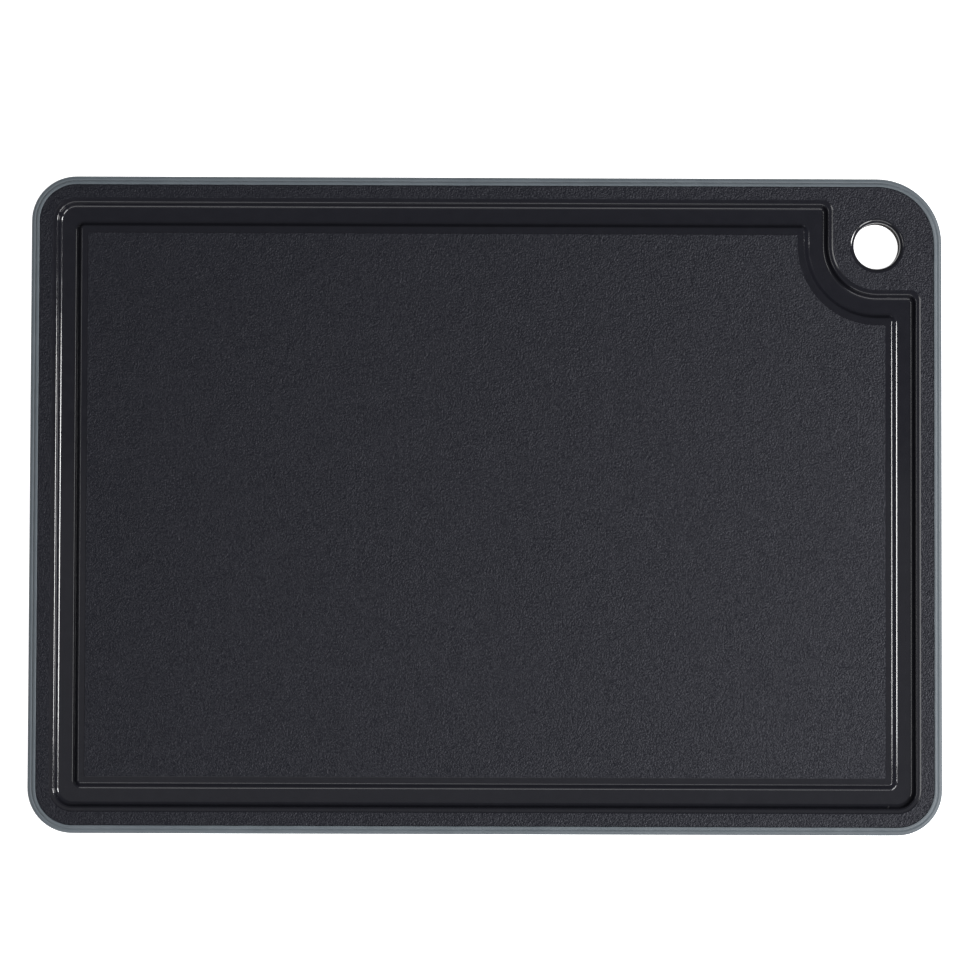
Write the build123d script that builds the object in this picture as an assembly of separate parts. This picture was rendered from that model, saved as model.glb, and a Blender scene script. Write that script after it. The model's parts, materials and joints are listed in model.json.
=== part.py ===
from build123d import *
import math
import os

# Moulded plastic cutting board: a rigid core with a juice groove and a hanging hole, and a
# soft grip rim moulded round its edge.
#
# Lengths are in millimetres.  The origin is under the middle of the board, on the surface
# that it rests on.  +X runs along the length, +Y across the width and +Z is up.  The hanging
# hole is in the corner at +X, +Y.  "Inset" is always a distance in from the board's outer edge.

# Whole board
BOARD_LENGTH = 368.0
BOARD_WIDTH = 265.0
CORNER_RADIUS = 18.2
CORE_THICKNESS = 9.0
CORE_EDGE_RADIUS = 0.3

# Hanging hole; the board's corner there is concentric with it
HOLE_INSET = 26.2
HOLE_SIDE_INSET = 27.2
HOLE_DIAMETER = 18.5
HOLE_EDGE_RADIUS = 1.8

# Soft rim: a proud lobe with a narrow flat crown on each face, and one round bead along the
# edge between them
RIM_WIDTH = 3.4
RIM_PROUD = 0.3
CROWN_WIDTH = 0.4
CROWN_EDGE_RADIUS = 0.25
CREASE_INSET = 1.8
BEAD_RADIUS = 1.3
BEAD_DROP = 0.55

# Tongue of the core inside the rim, with slots that the rim's material fills
TONGUE_INSET = 1.2
TONGUE_THICKNESS = 5.0
LOCK_SLOT_LENGTH = 6.0
LOCK_SLOT_WIDTH = 1.1
LOCK_SLOT_PITCH = 21.0

# Juice groove, measured at its mouth
GROOVE_INSET = 10.1
GROOVE_WIDTH = 10.55
GROOVE_DEPTH = 2.6
OUTER_WALL_DRAFT = 18.0
FIELD_WALL_DRAFT = 31.0
MOUTH_RADIUS = 0.9
FLOOR_RADIUS = 1.6
ELBOW_RADIUS = 3.8
FIELD_CORNER_RADIUS = 0.8
HOLE_LAND_WIDTH = 10.05

# Polished band: the grained land and field stand this much above it, with sloped borders
OUTER_BAND_WIDTH = 1.4
INNER_BAND_WIDTH = 2.35
BAND_DEPTH = 0.15
LAND_SLOPE_RUN = 0.5
FIELD_SLOPE_RUN = 0.2
LAND_ELBOW_RADIUS = 4.2

# Heights and places that follow from the sizes above
TOTAL_THICKNESS = CORE_THICKNESS + 2 * RIM_PROUD
MIDDLE_Z = TOTAL_THICKNESS / 2
CORE_TOP_Z = MIDDLE_Z + CORE_THICKNESS / 2
CORE_BOTTOM_Z = MIDDLE_Z - CORE_THICKNESS / 2
BAND_Z = CORE_TOP_Z - BAND_DEPTH
FLOOR_Z = BAND_Z - GROOVE_DEPTH
HOLE_X = BOARD_LENGTH / 2 - HOLE_INSET
HOLE_Y = BOARD_WIDTH / 2 - HOLE_SIDE_INSET
FIELD_MOUTH_INSET = GROOVE_INSET + GROOVE_WIDTH
OUTER_BAND_INSET = GROOVE_INSET - OUTER_BAND_WIDTH
INNER_BAND_INSET = FIELD_MOUTH_INSET + INNER_BAND_WIDTH

# Modelling allowances
CLEAR_HEIGHT = 1.0
SHORTEST_STRAIGHT = 0.2


def edge_loop(inset):
    """The board's outline, moved in by a distance: three equal corners and the hole's corner."""
    half_x = BOARD_LENGTH / 2 - inset
    half_y = BOARD_WIDTH / 2 - inset
    corners = [(-half_x, -half_y), (half_x, -half_y), (half_x, half_y), (-half_x, half_y)]
    corner = CORNER_RADIUS - inset
    hole_corner = HOLE_INSET - inset
    return FilletPolyline(*corners, radius=[corner, corner, hole_corner, corner], close=True).wire()


def groove_loop(inset, corner, elbow):
    """A loop beside the groove: round the board, and round the inside of the hanging hole.

    corner rounds the three plain corners, and elbow the two where the groove turns off its
    side of the board.  Between the elbows the loop keeps its distance from the hole.
    """
    half_x = BOARD_LENGTH / 2 - inset
    half_y = BOARD_WIDTH / 2 - inset
    reach = HOLE_DIAMETER / 2 + HOLE_LAND_WIDTH + inset - GROOVE_INSET
    leg = reach + min(HOLE_INSET, HOLE_SIDE_INSET) - inset
    turn = min(reach, leg - elbow - SHORTEST_STRAIGHT)
    corners = [
        (-half_x, -half_y),
        (half_x, -half_y),
        (half_x, HOLE_Y - reach),
        (HOLE_X - reach, HOLE_Y - reach),
        (HOLE_X - reach, half_y),
        (-half_x, half_y),
    ]
    return FilletPolyline(*corners, radius=[corner, corner, elbow, turn, elbow, corner], close=True).wire()


def swept_round(section, loop):
    """Carry a closed section round a loop.

    The section is drawn with x pointing in from the loop and y pointing up from it.
    """
    along = loop % 0
    inward = Vector(0, 0, 1).cross(along)
    start = Plane(origin=loop @ 0, x_dir=inward, z_dir=along)
    return sweep(start * section, path=loop)


def plate(loop, bottom, top):
    """A flat plate inside a loop, between two heights."""
    return extrude(Pos(0, 0, bottom) * make_face(loop), top - bottom)


def raised(loop, height):
    """The same loop at a height."""
    return Pos(0, 0, height) * loop


def wall_section(inward, draft):
    """Material left at one wall of the groove, under the wall's profile.

    It starts at the edge of the mouth, on the band's level, and rounds over, down the sloped
    wall, and into the floor.  inward is 1 for the outer wall and -1 for the field's wall, and
    draft is the wall's lean from upright, in degrees.
    """
    steep = math.radians(90 - draft)
    over_x = MOUTH_RADIUS * math.sin(steep)
    over_y = MOUTH_RADIUS * (1 - math.cos(steep))
    under_x = FLOOR_RADIUS * math.sin(steep)
    under_y = FLOOR_RADIUS * (1 - math.cos(steep))
    wall_y = GROOVE_DEPTH - over_y - under_y
    wall_x = wall_y / math.tan(steep)
    run = over_x + wall_x + under_x

    mouth = (0, 0)
    wall_top = (inward * over_x, -over_y)
    wall_foot = (inward * (over_x + wall_x), -over_y - wall_y)
    floor_edge = (inward * run, -GROOVE_DEPTH)
    corner = (0, -GROOVE_DEPTH)
    turn = -inward
    profile = [
        rounded(mouth, wall_top, MOUTH_RADIUS, steep, turn),
        Line(wall_top, wall_foot),
        rounded(wall_foot, floor_edge, FLOOR_RADIUS, steep, -turn),
        Line(floor_edge, corner),
        Line(corner, mouth),
    ]
    return make_face(profile)


def rounded(start, end, radius, angle, turn):
    """An arc between two points; turn is its side of the chord, 1 for left and -1 for right."""
    sagitta = radius * (1 - math.cos(angle / 2))
    return SagittaArc(start, end, turn * -sagitta)


def rim_section():
    """The rim's outer shape, from the board's edge in to the core's shoulder.

    It is the same above and below: a bead rolls over from the edge, dips into a crease, and
    rises to a lobe whose flat crown stands proud of the core's face.
    """
    crown_y = TOTAL_THICKNESS / 2
    side_y = crown_y - BEAD_DROP - BEAD_RADIUS
    shoulder_y = crown_y - CROWN_EDGE_RADIUS
    crown_end = RIM_WIDTH - CROWN_EDGE_RADIUS
    crown_start = crown_end - CROWN_WIDTH
    crease_y = side_y + math.sqrt(BEAD_RADIUS**2 - (CREASE_INSET - BEAD_RADIUS)**2)

    top = [
        bead_arc(side_y, crease_y),
        lobe_arc(crown_start, crown_y, crease_y),
        Line((crown_start, crown_y), (crown_end, crown_y)),
        RadiusArc((crown_end, crown_y), (RIM_WIDTH, shoulder_y), CROWN_EDGE_RADIUS),
    ]
    edge = Line((0, side_y), (0, -side_y))
    back = Line((RIM_WIDTH, shoulder_y), (RIM_WIDTH, -shoulder_y))
    return make_face([edge, back, *top, *(mirror(line, Plane.XZ) for line in top)])


def bead_arc(side_y, crease_y):
    """The bead's roll, from the upright edge over its crest to the crease."""
    diagonal = BEAD_RADIUS * math.sqrt(0.5)
    middle = (BEAD_RADIUS - diagonal, side_y + diagonal)
    return ThreePointArc((0, side_y), middle, (CREASE_INSET, crease_y))


def lobe_arc(crown_start, crown_y, crease_y):
    """The lobe's outer side, from the crease up to its crown, which it meets level."""
    return TangentArc((crown_start, crown_y), (CREASE_INSET, crease_y), tangent=(-1, 0))


def tongue_plate():
    """The plate whose edge is the core's tongue, with the slots that lock the rim on."""
    half = TONGUE_THICKNESS / 2
    tongue = plate(edge_loop(TONGUE_INSET), MIDDLE_Z - half, MIDDLE_Z + half)
    slot_inset = (TONGUE_INSET + RIM_WIDTH) / 2
    slot = extrude(SlotOverall(LOCK_SLOT_LENGTH, LOCK_SLOT_WIDTH), TONGUE_THICKNESS, both=True)
    sides = [
        (BOARD_LENGTH, BOARD_WIDTH / 2 - slot_inset, 0),
        (BOARD_WIDTH, BOARD_LENGTH / 2 - slot_inset, 90),
    ]
    for side_length, offset, angle in sides:
        straight = side_length - 2 * max(HOLE_INSET, CORNER_RADIUS) - LOCK_SLOT_LENGTH
        gaps = int(straight // LOCK_SLOT_PITCH)
        for place in range(gaps + 1):
            along = (place - gaps / 2) * LOCK_SLOT_PITCH
            for side in (1, -1):
                tongue -= Rot(0, 0, angle) * Pos(along, side * offset, MIDDLE_Z) * slot
    return tongue


def polished_band():
    """What is taken off the top between the grained land and the grained field."""
    land_edge = groove_loop(OUTER_BAND_INSET, CORNER_RADIUS - OUTER_BAND_INSET, LAND_ELBOW_RADIUS)
    field_edge = groove_loop(INNER_BAND_INSET, FIELD_CORNER_RADIUS, FIELD_CORNER_RADIUS)
    above = CORE_TOP_Z + CLEAR_HEIGHT
    band = plate(land_edge, BAND_Z, above) - plate(field_edge, BAND_Z, above)
    for loop, run in ((land_edge, LAND_SLOPE_RUN), (field_edge, -FIELD_SLOPE_RUN)):
        slope = make_face(Polyline((0, 0), (run, 0), (0, BAND_DEPTH), close=True))
        band -= swept_round(slope, raised(loop, BAND_Z))
    return band


def groove_space():
    """The space inside the juice groove, up to above the board."""
    mouth = groove_loop(GROOVE_INSET, CORNER_RADIUS - GROOVE_INSET, ELBOW_RADIUS)
    field = groove_loop(FIELD_MOUTH_INSET, FIELD_CORNER_RADIUS, FIELD_CORNER_RADIUS)
    space = plate(mouth, FLOOR_Z, CORE_TOP_Z) - plate(field, FLOOR_Z, CORE_TOP_Z)
    space -= swept_round(wall_section(1, OUTER_WALL_DRAFT), raised(mouth, BAND_Z))
    space -= swept_round(wall_section(-1, FIELD_WALL_DRAFT), raised(field, BAND_Z))
    return space


def hole_edges(solid, radius):
    """Round both edges of the hanging hole."""
    axis = Vector(HOLE_X, HOLE_Y, 0)
    at_hole = [
        edge
        for edge in solid.edges().filter_by(GeomType.CIRCLE)
        if (Vector(edge.arc_center.X, edge.arc_center.Y, 0) - axis).length < 0.01
        and abs(edge.radius - HOLE_DIAMETER / 2) < 0.01
    ]
    return fillet(at_hole, radius)


def core_plate():
    """The core without its tongue, its outer edges rounded where they meet the rim."""
    core = plate(edge_loop(RIM_WIDTH), CORE_BOTTOM_Z, CORE_TOP_Z)
    faces = core.faces().sort_by(Axis.Z)
    return fillet(faces[0].edges() + faces[-1].edges(), CORE_EDGE_RADIUS)


def board_core():
    """The rigid plate, with its tongue, groove, polished band and hanging hole."""
    core = core_plate() + tongue_plate()
    core -= Pos(HOLE_X, HOLE_Y, MIDDLE_Z) * Cylinder(HOLE_DIAMETER / 2, CORE_THICKNESS)
    core = hole_edges(core, HOLE_EDGE_RADIUS)
    core -= polished_band()
    core -= groove_space()
    return core


def grip_rim():
    """The soft rim, which wraps the tongue and fills its slots."""
    return swept_round(rim_section(), raised(edge_loop(0), MIDDLE_Z)) - tongue_plate()


os.makedirs("parts", exist_ok=True)
for name, piece in (("board_core", board_core()), ("grip_rim", grip_rim())):
    piece.label = name
    export_step(piece, f"parts/{name}.step")
    print(f"{name}: {len(piece.solids())} solid, {piece.volume / 1000:.1f} cm3, valid {piece.is_valid}")
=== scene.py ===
import json
import math

import bmesh
import bpy
from mathutils import Euler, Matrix, Vector, geometry, noise


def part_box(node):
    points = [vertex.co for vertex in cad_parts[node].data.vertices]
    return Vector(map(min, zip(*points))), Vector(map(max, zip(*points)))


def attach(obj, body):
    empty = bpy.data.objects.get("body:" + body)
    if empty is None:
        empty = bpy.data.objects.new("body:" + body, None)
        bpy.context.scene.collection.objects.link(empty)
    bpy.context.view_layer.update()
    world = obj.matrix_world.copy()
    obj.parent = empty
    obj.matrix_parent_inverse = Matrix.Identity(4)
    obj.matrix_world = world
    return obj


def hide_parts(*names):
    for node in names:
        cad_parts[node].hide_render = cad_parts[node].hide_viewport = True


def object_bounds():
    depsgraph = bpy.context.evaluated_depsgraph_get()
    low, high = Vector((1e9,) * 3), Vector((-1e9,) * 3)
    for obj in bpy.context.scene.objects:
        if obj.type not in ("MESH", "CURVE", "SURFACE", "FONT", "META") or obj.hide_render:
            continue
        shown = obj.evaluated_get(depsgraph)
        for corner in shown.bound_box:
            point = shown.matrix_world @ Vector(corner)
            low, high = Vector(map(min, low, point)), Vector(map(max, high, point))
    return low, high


# Moulded cutting board: a grained plastic core with a polished juice groove, and a soft grip
# rim moulded round its edge.  Both pieces are finer meshes of the CAD nodes that they replace.
#
# The shapes are worked out in millimetres and the scene is in metres.  "Inset" is a distance in
# from the board's outer edge.

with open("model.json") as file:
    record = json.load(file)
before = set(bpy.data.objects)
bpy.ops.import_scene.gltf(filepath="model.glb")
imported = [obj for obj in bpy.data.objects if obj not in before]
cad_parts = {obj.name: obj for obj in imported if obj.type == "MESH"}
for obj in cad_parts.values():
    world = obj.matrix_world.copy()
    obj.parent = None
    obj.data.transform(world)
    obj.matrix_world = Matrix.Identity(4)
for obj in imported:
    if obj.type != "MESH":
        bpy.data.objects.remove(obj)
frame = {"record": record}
cad_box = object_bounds()

MM = 0.001

# From the frame
LENGTH = (cad_box[1].x - cad_box[0].x) / MM
WIDTH = (cad_box[1].y - cad_box[0].y) / MM
TOP = cad_box[1].z / MM
MIDDLE = TOP / 2
CORE_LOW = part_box("board_core")[0].z / MM
CORE_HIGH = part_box("board_core")[1].z / MM
HOLE_MOUNT = next(mount for mount in frame["record"]["mounts"] if mount["kind"] == "bore")
HOLE_X = HOLE_MOUNT["pos_m"][0] / MM
HOLE_Y = HOLE_MOUNT["pos_m"][1] / MM
HOLE_RADIUS = HOLE_MOUNT["dims"]["r_mm"]
HOLE_INSET = LENGTH / 2 - HOLE_X

# The CAD model's own sizes
CORNER_RADIUS = 18.2
CORE_EDGE_RADIUS = 0.3
HOLE_EDGE_RADIUS = 1.8
RIM_WIDTH = 3.4
CROWN_WIDTH = 0.4
CROWN_EDGE_RADIUS = 0.25
CREASE_INSET = 1.8
BEAD_RADIUS = 1.3
BEAD_DROP = 0.55
TONGUE_INSET = 1.2
TONGUE_THICKNESS = 5.0
LOCK_SLOT_LENGTH = 6.0
LOCK_SLOT_WIDTH = 1.1
LOCK_SLOT_PITCH = 21.0
GROOVE_INSET = 10.1
GROOVE_WIDTH = 10.55
GROOVE_DEPTH = 2.6
OUTER_WALL_DRAFT = 18.0
FIELD_WALL_DRAFT = 31.0
MOUTH_RADIUS = 0.9
FLOOR_RADIUS = 1.6
ELBOW_RADIUS = 3.8
FIELD_CORNER_RADIUS = 0.8
HOLE_LAND_WIDTH = 10.05
OUTER_BAND_WIDTH = 1.4
INNER_BAND_WIDTH = 2.35
BAND_DEPTH = 0.15
LAND_SLOPE_RUN = 0.5
FIELD_SLOPE_RUN = 0.2
LAND_ELBOW_RADIUS = 4.2

BAND_Z = CORE_HIGH - BAND_DEPTH
LAND_EDGE = GROOVE_INSET - OUTER_BAND_WIDTH
FIELD_MOUTH = GROOVE_INSET + GROOVE_WIDTH
FIELD_EDGE = FIELD_MOUTH + INNER_BAND_WIDTH
LAND_CORNER_RADIUS = CORNER_RADIUS - LAND_EDGE

# Mesh fineness
CORNER_STEPS = 18
GROOVE_CORNER_STEPS = 22
RIM_STATION = 2.2
GROOVE_STATION = 7.0
FLAT_GRID = 8.0
ROUND_STEP = math.radians(8)
HOLE_STEPS = 72
SLOT_END_STEPS = 6
SHARP_ANGLE = math.radians(14)
WELD = 1e-4
WITH_HOLES = 2

# The soft rim's thin inner edge: how far it strays, over what distance, and how far under the
# core's face it ends
FLASH_WAVER = 0.09
FLASH_WAVELENGTH = 7.0
LIP_DROP = 0.05

# The part of a noise texture's range that most of its values are in
NOISE_LOW = 0.3
NOISE_HIGH = 0.7

GRAINED, POLISHED, BORE = 0, 1, 2


# ---------------------------------------------------------------- outlines

def rounded_loop(corners, radii, corner_steps, station):
    """Points round a loop of right-angled corners, with the same count for every inset."""
    count = len(corners)
    arrive = [(corners[i] - corners[i - 1]).normalized() for i in range(count)]
    points = []
    for i in range(count):
        after = (i + 1) % count
        leave = arrive[after]
        centre = corners[i] + (leave - arrive[i]) * radii[i]
        for step in range(corner_steps + 1):
            turn = math.pi / 2 * step / corner_steps
            points.append(centre + (arrive[i] * math.sin(turn) - leave * math.cos(turn)) * radii[i])
        start = points[-1]
        end = corners[after] - leave * radii[after]
        for step in range(1, station[i]):
            points.append(start.lerp(end, step / station[i]))
    return points


def stations(lengths, spacing):
    """How many equal stretches divide each side."""
    return [max(2, round(length / spacing)) for length in lengths]


def edge_loop(inset):
    """The board's outline, moved in by a distance."""
    half_x = LENGTH / 2 - inset
    half_y = WIDTH / 2 - inset
    corners = [
        Vector((-half_x, -half_y)),
        Vector((half_x, -half_y)),
        Vector((half_x, half_y)),
        Vector((-half_x, half_y)),
    ]
    corner = CORNER_RADIUS - inset
    radii = [corner, corner, HOLE_INSET - inset, corner]
    return rounded_loop(corners, radii, CORNER_STEPS, stations([LENGTH, WIDTH, LENGTH, WIDTH], RIM_STATION))


def groove_loop(inset, corner, elbow):
    """A loop beside the groove, which passes the hanging hole on its inner side."""
    half_x = LENGTH / 2 - inset
    half_y = WIDTH / 2 - inset
    reach = HOLE_RADIUS + HOLE_LAND_WIDTH + inset - GROOVE_INSET
    corners = [
        Vector((-half_x, -half_y)),
        Vector((half_x, -half_y)),
        Vector((half_x, HOLE_Y - reach)),
        Vector((HOLE_X - reach, HOLE_Y - reach)),
        Vector((HOLE_X - reach, half_y)),
        Vector((-half_x, half_y)),
    ]
    radii = [corner, corner, elbow, reach, elbow, corner]
    sides = stations([LENGTH, WIDTH, HOLE_INSET, HOLE_INSET, LENGTH, WIDTH], GROOVE_STATION)
    return rounded_loop(corners, radii, GROOVE_CORNER_STEPS, sides)


def hole_loop(radius):
    """A circle round the hanging hole."""
    turns = [2 * math.pi * step / HOLE_STEPS for step in range(HOLE_STEPS)]
    return [Vector((HOLE_X + radius * math.cos(turn), HOLE_Y + radius * math.sin(turn))) for turn in turns]


def arc(centre, radius, start, end):
    """Points along an arc between two angles, in steps of about ROUND_STEP."""
    steps = max(2, math.ceil(abs(end - start) / ROUND_STEP))
    turns = [start + (end - start) * step / steps for step in range(steps + 1)]
    return [(centre[0] + radius * math.cos(turn), centre[1] + radius * math.sin(turn)) for turn in turns]


# ---------------------------------------------------------------- mesh patches

def at_height(loop, z):
    """A loop's points at a height."""
    return [Vector((point.x, point.y, z)) for point in loop]


def strip(first, second, finish):
    """The faces between two rings with the same count of points."""
    count = len(first)
    faces = []
    for i in range(count):
        after = (i + 1) % count
        faces.append((i, after, count + after, count + i))
    return first + second, faces, finish


def strips(rings, finish):
    """The faces between each ring and the next."""
    return [strip(first, second, finish) for first, second in zip(rings, rings[1:])]


def flat(loops, z, finish, grid=None):
    """The flat face inside the first loop and outside the others."""
    points = []
    outlines = []
    for loop in loops:
        outlines.append(list(range(len(points), len(points) + len(loop))))
        points += loop
    if grid:
        points = points + grid_points(points, grid)
    placed, _, faces, *_ = geometry.delaunay_2d_cdt(points, [], outlines, WITH_HOLES, WELD)
    return at_height(placed, z), faces, finish


def grid_points(boundary, spacing):
    """Evenly spaced points inside the boundary's box, clear of the boundary itself."""
    low = Vector((min(point.x for point in boundary), min(point.y for point in boundary)))
    high = Vector((max(point.x for point in boundary), max(point.y for point in boundary)))
    columns, rows = (max(2, round(size / spacing)) for size in high - low)
    made = []
    for column in range(1, columns):
        for row in range(1, rows):
            point = Vector((
                low.x + (high.x - low.x) * column / columns,
                low.y + (high.y - low.y) * row / rows,
            ))
            if all((point - edge).length > spacing / 2 for edge in boundary):
                made.append(point)
    return made


def make_piece(name, patches, materials):
    """Weld patches into one closed, smooth-shaded mesh, in metres."""
    shell = bmesh.new()
    for points, faces, finish in patches:
        corners = [shell.verts.new(point * MM) for point in points]
        for face in faces:
            made = shell.faces.new([corners[i] for i in face])
            made.material_index = finish
    bmesh.ops.remove_doubles(shell, verts=shell.verts, dist=WELD * MM)
    bmesh.ops.delete(shell, geom=[vert for vert in shell.verts if not vert.link_faces], context="VERTS")
    bmesh.ops.recalc_face_normals(shell, faces=shell.faces)
    for face in shell.faces:
        face.smooth = True
    for edge in shell.edges:
        edge.smooth = edge.calc_face_angle(0) < SHARP_ANGLE
    mesh = bpy.data.meshes.new(name)
    shell.to_mesh(mesh)
    shell.free()
    for material in materials:
        mesh.materials.append(material)
    piece = bpy.data.objects.new(name, mesh)
    bpy.context.scene.collection.objects.link(piece)
    shading = piece.modifiers.new("flat faces stay flat", "WEIGHTED_NORMAL")
    shading.keep_sharp = True
    return piece


# ---------------------------------------------------------------- tongue and lock slots

def stadium(centre, length, width, along_y):
    """The outline of a slot with round ends."""
    straight = (length - width) / 2
    points = []
    for side in (1, -1):
        for step in range(SLOT_END_STEPS + 1):
            turn = math.pi * (step / SLOT_END_STEPS - 0.5)
            x = side * (straight + width / 2 * math.cos(turn))
            y = side * width / 2 * math.sin(turn)
            points.append(centre + (Vector((-y, x)) if along_y else Vector((x, y))))
    return points


def lock_slots():
    """The outlines of the slots in the core's tongue, which the rim fills."""
    inset = (TONGUE_INSET + RIM_WIDTH) / 2
    outlines = []
    for side_length, offset, along_y in (
        (LENGTH, WIDTH / 2 - inset, False),
        (WIDTH, LENGTH / 2 - inset, True),
    ):
        straight = side_length - 2 * max(HOLE_INSET, CORNER_RADIUS) - LOCK_SLOT_LENGTH
        gaps = int(straight // LOCK_SLOT_PITCH)
        for place in range(gaps + 1):
            along = (place - gaps / 2) * LOCK_SLOT_PITCH
            for side in (1, -1):
                centre = Vector((side * offset, along)) if along_y else Vector((along, side * offset))
                outlines.append(stadium(centre, LOCK_SLOT_LENGTH, LOCK_SLOT_WIDTH, along_y))
    return outlines


def tongue_patches():
    """The core's tongue, which is also the inside of the rim: both pieces share its faces."""
    shoulder = edge_loop(RIM_WIDTH)
    tip = edge_loop(TONGUE_INSET)
    slots = lock_slots()
    low = MIDDLE - TONGUE_THICKNESS / 2
    high = MIDDLE + TONGUE_THICKNESS / 2
    patches = [strip(at_height(tip, low), at_height(tip, high), GRAINED)]
    patches += [flat([tip, shoulder, *slots], z, GRAINED) for z in (low, high)]
    patches += [strip(at_height(slot, low), at_height(slot, high), GRAINED) for slot in slots]
    return patches


# ---------------------------------------------------------------- core

def wall_profile(draft):
    """A groove wall's profile from its mouth: how far it has run, and how far it has dropped."""
    steep = math.radians(90 - draft)
    quarter = math.pi / 2
    over = arc((0, -MOUTH_RADIUS), MOUTH_RADIUS, quarter, quarter - steep)
    under_run = FLOOR_RADIUS * math.sin(steep)
    under_drop = FLOOR_RADIUS * (1 - math.cos(steep))
    wall_drop = GROOVE_DEPTH + over[-1][1] - under_drop
    run = over[-1][0] + wall_drop / math.tan(steep) + under_run
    under = arc((run, FLOOR_RADIUS - GROOVE_DEPTH), FLOOR_RADIUS, -quarter - steep, -quarter)
    return [(step_run, -height) for step_run, height in over + under]


def outer_wall():
    """Rings down the groove's outer wall."""
    corner = CORNER_RADIUS - GROOVE_INSET
    return [
        at_height(groove_loop(GROOVE_INSET + run, corner - run, ELBOW_RADIUS - run), BAND_Z - drop)
        for run, drop in wall_profile(OUTER_WALL_DRAFT)
    ]


def field_wall():
    """Rings down the groove's inner wall, from the field's side."""
    rings = []
    for run, drop in wall_profile(FIELD_WALL_DRAFT):
        radius = FIELD_CORNER_RADIUS + run
        rings.append(at_height(groove_loop(FIELD_MOUTH - run, radius, radius), BAND_Z - drop))
    return rings


def core_top():
    """The grained land, the polished band and groove, and the grained cutting field."""
    land_edge = groove_loop(LAND_EDGE, LAND_CORNER_RADIUS, LAND_ELBOW_RADIUS)
    land_foot = groove_loop(
        LAND_EDGE + LAND_SLOPE_RUN, LAND_CORNER_RADIUS - LAND_SLOPE_RUN, LAND_ELBOW_RADIUS - LAND_SLOPE_RUN
    )
    field_radius = FIELD_CORNER_RADIUS + FIELD_SLOPE_RUN
    field_foot = groove_loop(FIELD_EDGE - FIELD_SLOPE_RUN, field_radius, field_radius)
    field_edge = groove_loop(FIELD_EDGE, FIELD_CORNER_RADIUS, FIELD_CORNER_RADIUS)
    outer = outer_wall()
    inner = field_wall()
    hole = hole_loop(HOLE_RADIUS + HOLE_EDGE_RADIUS)
    polished = [at_height(land_foot, BAND_Z), *outer, *reversed(inner), at_height(field_foot, BAND_Z)]
    return [
        flat([edge_loop(RIM_WIDTH + CORE_EDGE_RADIUS), land_edge, hole], CORE_HIGH, GRAINED),
        strip(at_height(land_edge, CORE_HIGH), polished[0], POLISHED),
        *strips(polished, POLISHED),
        strip(polished[-1], at_height(field_edge, CORE_HIGH), POLISHED),
        flat([field_edge], CORE_HIGH, GRAINED, FLAT_GRID),
    ]


def hole_wall():
    """The hanging hole: a matt bore, with both of its polished edges rounded."""
    ring = HOLE_RADIUS + HOLE_EDGE_RADIUS
    quarter = math.pi / 2
    top = arc((ring, CORE_HIGH - HOLE_EDGE_RADIUS), HOLE_EDGE_RADIUS, quarter, 2 * quarter)
    bottom = arc((ring, CORE_LOW + HOLE_EDGE_RADIUS), HOLE_EDGE_RADIUS, 2 * quarter, 3 * quarter)
    rounded, bore, lower = (
        [at_height(hole_loop(radius), z) for radius, z in profile]
        for profile in (top, (top[-1], bottom[0]), bottom)
    )
    return strips(rounded, POLISHED) + strips(bore, BORE) + strips(lower, POLISHED)


def core_side():
    """The core's upright side above and below the tongue, rounded where it meets each face."""
    edge = arc((RIM_WIDTH + CORE_EDGE_RADIUS, -CORE_EDGE_RADIUS), CORE_EDGE_RADIUS, math.pi, math.pi / 2)
    patches = []
    for sign, face in ((1, CORE_HIGH), (-1, CORE_LOW)):
        tongue = at_height(edge_loop(RIM_WIDTH), MIDDLE + sign * TONGUE_THICKNESS / 2)
        rings = [at_height(edge_loop(inset), face + sign * drop) for inset, drop in edge]
        patches += strips([tongue, *rings], GRAINED)
    return patches


def core_moulding(materials):
    """The whole rigid core."""
    underside = [edge_loop(RIM_WIDTH + CORE_EDGE_RADIUS), hole_loop(HOLE_RADIUS + HOLE_EDGE_RADIUS)]
    patches = [
        *core_top(),
        *hole_wall(),
        flat(underside, CORE_LOW, GRAINED, FLAT_GRID),
        *core_side(),
        *tongue_patches(),
    ]
    return make_piece("core_moulding", patches, materials)


# ---------------------------------------------------------------- rim

def rim_profile():
    """The rim's upper outline from mid-height on its side to its inner top edge."""
    crown = TOP / 2
    side = crown - BEAD_DROP - BEAD_RADIUS
    crown_end = RIM_WIDTH - CROWN_EDGE_RADIUS
    crown_start = crown_end - CROWN_WIDTH
    crease_run = CREASE_INSET - BEAD_RADIUS
    crease_rise = math.sqrt(BEAD_RADIUS**2 - crease_run**2)
    bead = arc((BEAD_RADIUS, side), BEAD_RADIUS, math.pi, math.atan2(crease_rise, crease_run))

    run = crown_start - CREASE_INSET
    rise = crown - side - crease_rise
    lobe_radius = (run**2 + rise**2) / (2 * rise)
    lobe_start = math.atan2(lobe_radius - rise, -run)
    lobe = arc((crown_start, crown - lobe_radius), lobe_radius, lobe_start, math.pi / 2)
    shoulder = arc((crown_end, crown - CROWN_EDGE_RADIUS), CROWN_EDGE_RADIUS, math.pi / 2, 0)
    return bead + lobe[1:] + shoulder


def flash_waver(point):
    """How far the rim's thin inner edge strays over the land, or short of it, near a point."""
    return FLASH_WAVER * noise.noise(Vector((point.x, point.y, 0)) / FLASH_WAVELENGTH)


def rim_ring(outline, inward, inset, height):
    """One ring of the rim.  The nearer it is to the core, the more it follows the waver."""
    crown_start = RIM_WIDTH - CROWN_EDGE_RADIUS - CROWN_WIDTH
    follow = max(0.0, min(1.0, (inset - crown_start) / CROWN_WIDTH))
    ring = []
    for point, direction in zip(outline, inward):
        place = point + direction * (inset + follow * flash_waver(point))
        ring.append(Vector((place.x, place.y, MIDDLE + height)))
    return ring


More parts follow.
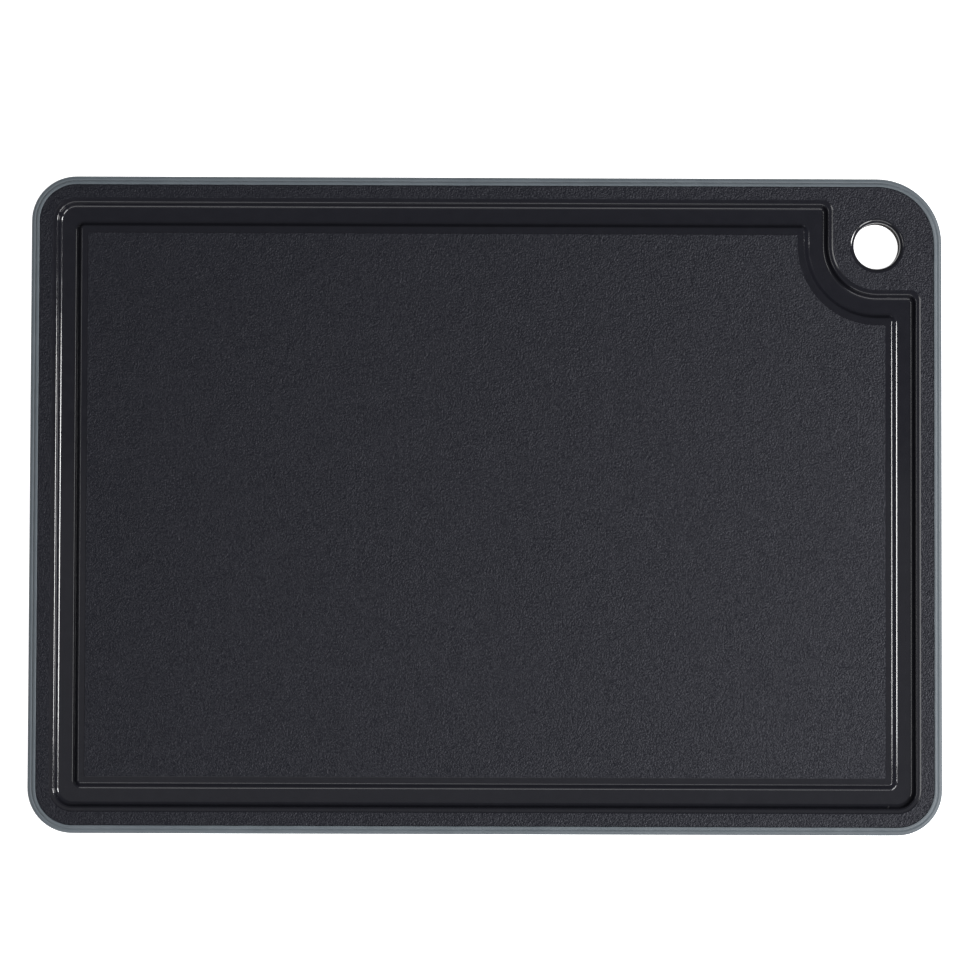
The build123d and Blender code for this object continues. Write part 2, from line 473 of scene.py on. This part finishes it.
def rim_moulding(materials):
    """The soft rim: its outer shape swept round the board, closed by the tongue's faces."""
    outline = edge_loop(0)
    inward = [inner - outer for outer, inner in zip(outline, edge_loop(1))]
    shoulder = edge_loop(RIM_WIDTH)
    seat = CORE_HIGH - MIDDLE
    profile = rim_profile()
    profile = [(0.0, 0.0), *profile, (RIM_WIDTH, seat - LIP_DROP)]
    upper = [rim_ring(outline, inward, inset, height) for inset, height in profile]
    lower = [rim_ring(outline, inward, inset, -height) for inset, height in profile]
    patches = strips(upper, 0) + strips(lower, 0) + tongue_patches()
    for rings, sign in ((upper, 1), (lower, -1)):
        inner = at_height(shoulder, MIDDLE + sign * TONGUE_THICKNESS / 2)
        deep = at_height(shoulder, MIDDLE + sign * (seat - CROWN_EDGE_RADIUS))
        patches += strips([rings[-1], deep, inner], 0)
    return make_piece("rim_moulding", patches, materials)


# ---------------------------------------------------------------- materials

# The moulded grain, in metres
PEBBLE_SIZE = 0.0007
PEBBLE_DEPTH = 0.00013
GRIT_DEPTH = 0.00016


def node(tree, kind, inputs=None, **settings):
    """Add a node, with its settings, and its inputs as values or as links."""
    made = tree.nodes.new(kind)
    for name, value in settings.items():
        setattr(made, name, value)
    for socket, value in (inputs or {}).items():
        if isinstance(value, bpy.types.NodeSocket):
            tree.links.new(value, made.inputs[socket])
        else:
            made.inputs[socket].default_value = value
    return made


def new_material(name):
    """An empty Principled material: its tree, its shader and its object coordinates."""
    material = bpy.data.materials.new(name)
    material.use_nodes = True
    tree = material.node_tree
    shader = tree.nodes["Principled BSDF"]
    coords = node(tree, "ShaderNodeTexCoord").outputs["Object"]
    return material, tree, shader, coords


def noise_value(tree, coords, size, detail=2.0, roughness=0.5):
    """Noise with features of a size in metres."""
    made = node(tree, "ShaderNodeTexNoise", {
        "Vector": coords, "Scale": 1 / size, "Detail": detail, "Roughness": roughness,
    })
    return made.outputs["Fac"]


def spread(tree, value, low, high):
    """Noise about its middle, spread over a range."""
    made = node(tree, "ShaderNodeMapRange", {
        "Value": value, "From Min": NOISE_LOW, "From Max": NOISE_HIGH, "To Min": low, "To Max": high,
    })
    return made.outputs["Result"]


def tinted(tree, value, dark, light):
    """A colour between two, by a value from 0 to 1."""
    inputs = {"Factor": value, "A": (*dark, 1), "B": (*light, 1)}
    return node(tree, "ShaderNodeMix", inputs, data_type="RGBA").outputs["Result"]


def bumped(tree, height, depth, normal=None):
    """Bump of a depth in metres, over any bump that is there already."""
    inputs = {"Height": height, "Distance": depth, "Strength": 1.0}
    if normal:
        inputs["Normal"] = normal
    return node(tree, "ShaderNodeBump", inputs).outputs["Normal"]


def connect(tree, shader, **sockets):
    """Link outputs to the shader's sockets."""
    for name, value in sockets.items():
        tree.links.new(value, shader.inputs[name.replace("_", " ")])


def grained_plastic():
    """Charcoal plastic with the fine pebble grain of a spark-eroded mould."""
    material, tree, shader, coords = new_material("grained_plastic")
    cells = {"Vector": coords, "Scale": 1 / PEBBLE_SIZE}
    pebbles = node(tree, "ShaderNodeTexVoronoi", cells).outputs["Distance"]
    grit = noise_value(tree, coords, 0.0005, 3.0, 0.6)
    patches = noise_value(tree, coords, 0.006, 2.0)
    sparkle = noise_value(tree, coords, 0.0006, 2.0)
    shade = spread(tree, patches, 0.0, 1.0)
    connect(
        tree, shader,
        Base_Color=tinted(tree, shade, (0.0062, 0.0066, 0.0098), (0.0076, 0.0080, 0.0116)),
        Roughness=spread(tree, grit, 0.36, 0.46),
        Normal=bumped(tree, pebbles, -PEBBLE_DEPTH, bumped(tree, grit, GRIT_DEPTH)),
        Specular_IOR_Level=spread(tree, sparkle, 0.10, 0.36),
    )
    shader.inputs["Specular Tint"].default_value = (0.90, 0.91, 1.0, 1)
    return material


def polished_plastic():
    """The same plastic where the mould is polished: glossy, with a faint unevenness."""
    material, tree, shader, coords = new_material("polished_plastic")
    swell = noise_value(tree, coords, 0.012, 1.0)
    haze = noise_value(tree, coords, 0.004, 3.0)
    colour = tinted(tree, spread(tree, haze, 0.0, 1.0), (0.0088, 0.0090, 0.0125), (0.0100, 0.0102, 0.0140))
    connect(
        tree, shader,
        Base_Color=colour,
        Roughness=spread(tree, haze, 0.085, 0.125),
        Normal=bumped(tree, swell, 0.00004),
    )
    shader.inputs["IOR"].default_value = 1.49
    return material


def matt_plastic_painted_light():
    """The same plastic in the hanging hole's bore: dull, with hardly any shine. Its colour is painted
    light: lighter and warmer than the rest of the core, for the floor's light falling on the bore.
    """
    material, tree, shader, coords = new_material("matt_plastic_painted_light")
    haze = noise_value(tree, coords, 0.002, 3.0)
    # painted light: the bore's colour is lighter and warmer than the core plastic's, standing in for light
    # thrown up from the floor
    colour = tinted(tree, spread(tree, haze, 0.0, 1.0), (0.020, 0.018, 0.017), (0.028, 0.026, 0.024))
    connect(tree, shader, Base_Color=colour)
    shader.inputs["Roughness"].default_value = 0.85
    shader.inputs["Specular IOR Level"].default_value = 0.05
    return material


def satin_elastomer():
    """Slate soft-touch rubber: satin, with a very fine skin and slight mottling."""
    material, tree, shader, coords = new_material("satin_elastomer")
    skin = noise_value(tree, coords, 0.0004, 2.0, 0.6)
    mottle = noise_value(tree, coords, 0.009, 3.0)
    colour = tinted(tree, spread(tree, mottle, 0.0, 1.0), (0.076, 0.092, 0.106), (0.090, 0.107, 0.122))
    connect(
        tree, shader,
        Base_Color=colour,
        Roughness=spread(tree, mottle, 0.46, 0.54),
        Normal=bumped(tree, skin, 0.00001, bumped(tree, mottle, 0.00003)),
    )
    shader.inputs["IOR"].default_value = 1.5
    return material


def pale_floor():
    """Plain white, and lit from below as on a light table."""
    material, _, shader, _ = new_material("pale_floor")
    shader.inputs["Base Color"].default_value = (0.85, 0.85, 0.86, 1)
    shader.inputs["Roughness"].default_value = 0.6
    shader.inputs["Emission Color"].default_value = (1, 1, 1, 1)
    shader.inputs["Emission Strength"].default_value = FLOOR_GLOW
    return material


# ---------------------------------------------------------------- studio

FLOOR_SIZE = 12.0
FLOOR_GLOW = 1.0
ROOM_GLOW = 0.10
STUDIO_REACH = 2.7

CAMERA_PLACE = (-0.0018, -0.0308, 1.200)
CAMERA_TURN_DEGREES = (1.77, -0.17, 0.19)
CAMERA_LENS = 108.6
CAMERA_SENSOR = 36

# Each light, STUDIO_REACH away from the board's middle: its lean from upright and its turn about
# the upright from the board's right, both in degrees, its level and upright sizes, and its power
LIGHTS = {
    "key_right": dict(lean=40, turn=1, size=(0.56, 0.95), power=58.0),
    "front_right": dict(lean=40, turn=-40, size=(0.9, 0.9), power=36.0),
    "front_high": dict(lean=41, turn=-90, size=(1.8, 0.8), power=15.0),
    "front_low": dict(lean=70, turn=-90, size=(1.8, 0.8), power=3.0),
    "left_high": dict(lean=25, turn=180, size=(0.9, 0.5), power=6.0),
    "overhead": dict(lean=7, turn=-90, size=(2.2, 0.9), power=1.3),
}


def add_light(name, lean, turn, size, power):
    """A soft rectangular light that faces the board."""
    light = bpy.data.lights.new(name, "AREA")
    light.shape = "RECTANGLE"
    light.size, light.size_y = size
    light.energy = power
    lamp = bpy.data.objects.new(name, light)
    away = Vector((0, 0, 1))
    away.rotate(Euler((0, math.radians(lean), math.radians(turn))))
    lamp.location = away * STUDIO_REACH
    lamp.rotation_euler = (-away).to_track_quat("-Z", "Y").to_euler()
    lamp.visible_camera = False
    bpy.context.scene.collection.objects.link(lamp)


def add_floor():
    """The table under the board."""
    half = FLOOR_SIZE / 2
    mesh = bpy.data.meshes.new("floor")
    corners = [(-half, -half, 0), (half, -half, 0), (half, half, 0), (-half, half, 0)]
    mesh.from_pydata(corners, [], [(0, 1, 2, 3)])
    mesh.materials.append(pale_floor())
    floor = bpy.data.objects.new("floor", mesh)
    bpy.context.scene.collection.objects.link(floor)


def add_room():
    """A dim room for the light, which a camera sees as a pale backdrop."""
    world = bpy.data.worlds.new("room")
    bpy.context.scene.world = world
    world.use_nodes = True
    tree = world.node_tree
    tree.nodes.clear()
    dim = node(tree, "ShaderNodeBackground", {"Color": (1, 1, 1, 1), "Strength": ROOM_GLOW})
    pale = node(tree, "ShaderNodeBackground", {"Color": (0.9, 0.9, 0.91, 1), "Strength": 1.0})
    seen = node(tree, "ShaderNodeLightPath").outputs["Is Camera Ray"]
    mixed = node(tree, "ShaderNodeMixShader", {0: seen, 1: dim.outputs[0], 2: pale.outputs[0]})
    node(tree, "ShaderNodeOutputWorld", {"Surface": mixed.outputs[0]})


def add_camera():
    """Nearly straight above the board, a little to its front."""
    camera = bpy.data.cameras.new("camera")
    camera.sensor_width = CAMERA_SENSOR
    camera.lens = CAMERA_LENS
    view = bpy.data.objects.new("camera", camera)
    view.location = CAMERA_PLACE
    view.rotation_euler = Euler([math.radians(angle) for angle in CAMERA_TURN_DEGREES])
    bpy.context.scene.collection.objects.link(view)
    bpy.context.scene.camera = view


add_camera()
add_floor()
add_room()
for light_name, light_sizes in LIGHTS.items():
    add_light(light_name, **light_sizes)
bpy.context.scene.view_settings.view_transform = "Standard"

core = core_moulding([grained_plastic(), polished_plastic(), matt_plastic_painted_light()])
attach(core, "root")
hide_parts("board_core")

rim = rim_moulding([satin_elastomer()])
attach(rim, "root")
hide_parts("grip_rim")
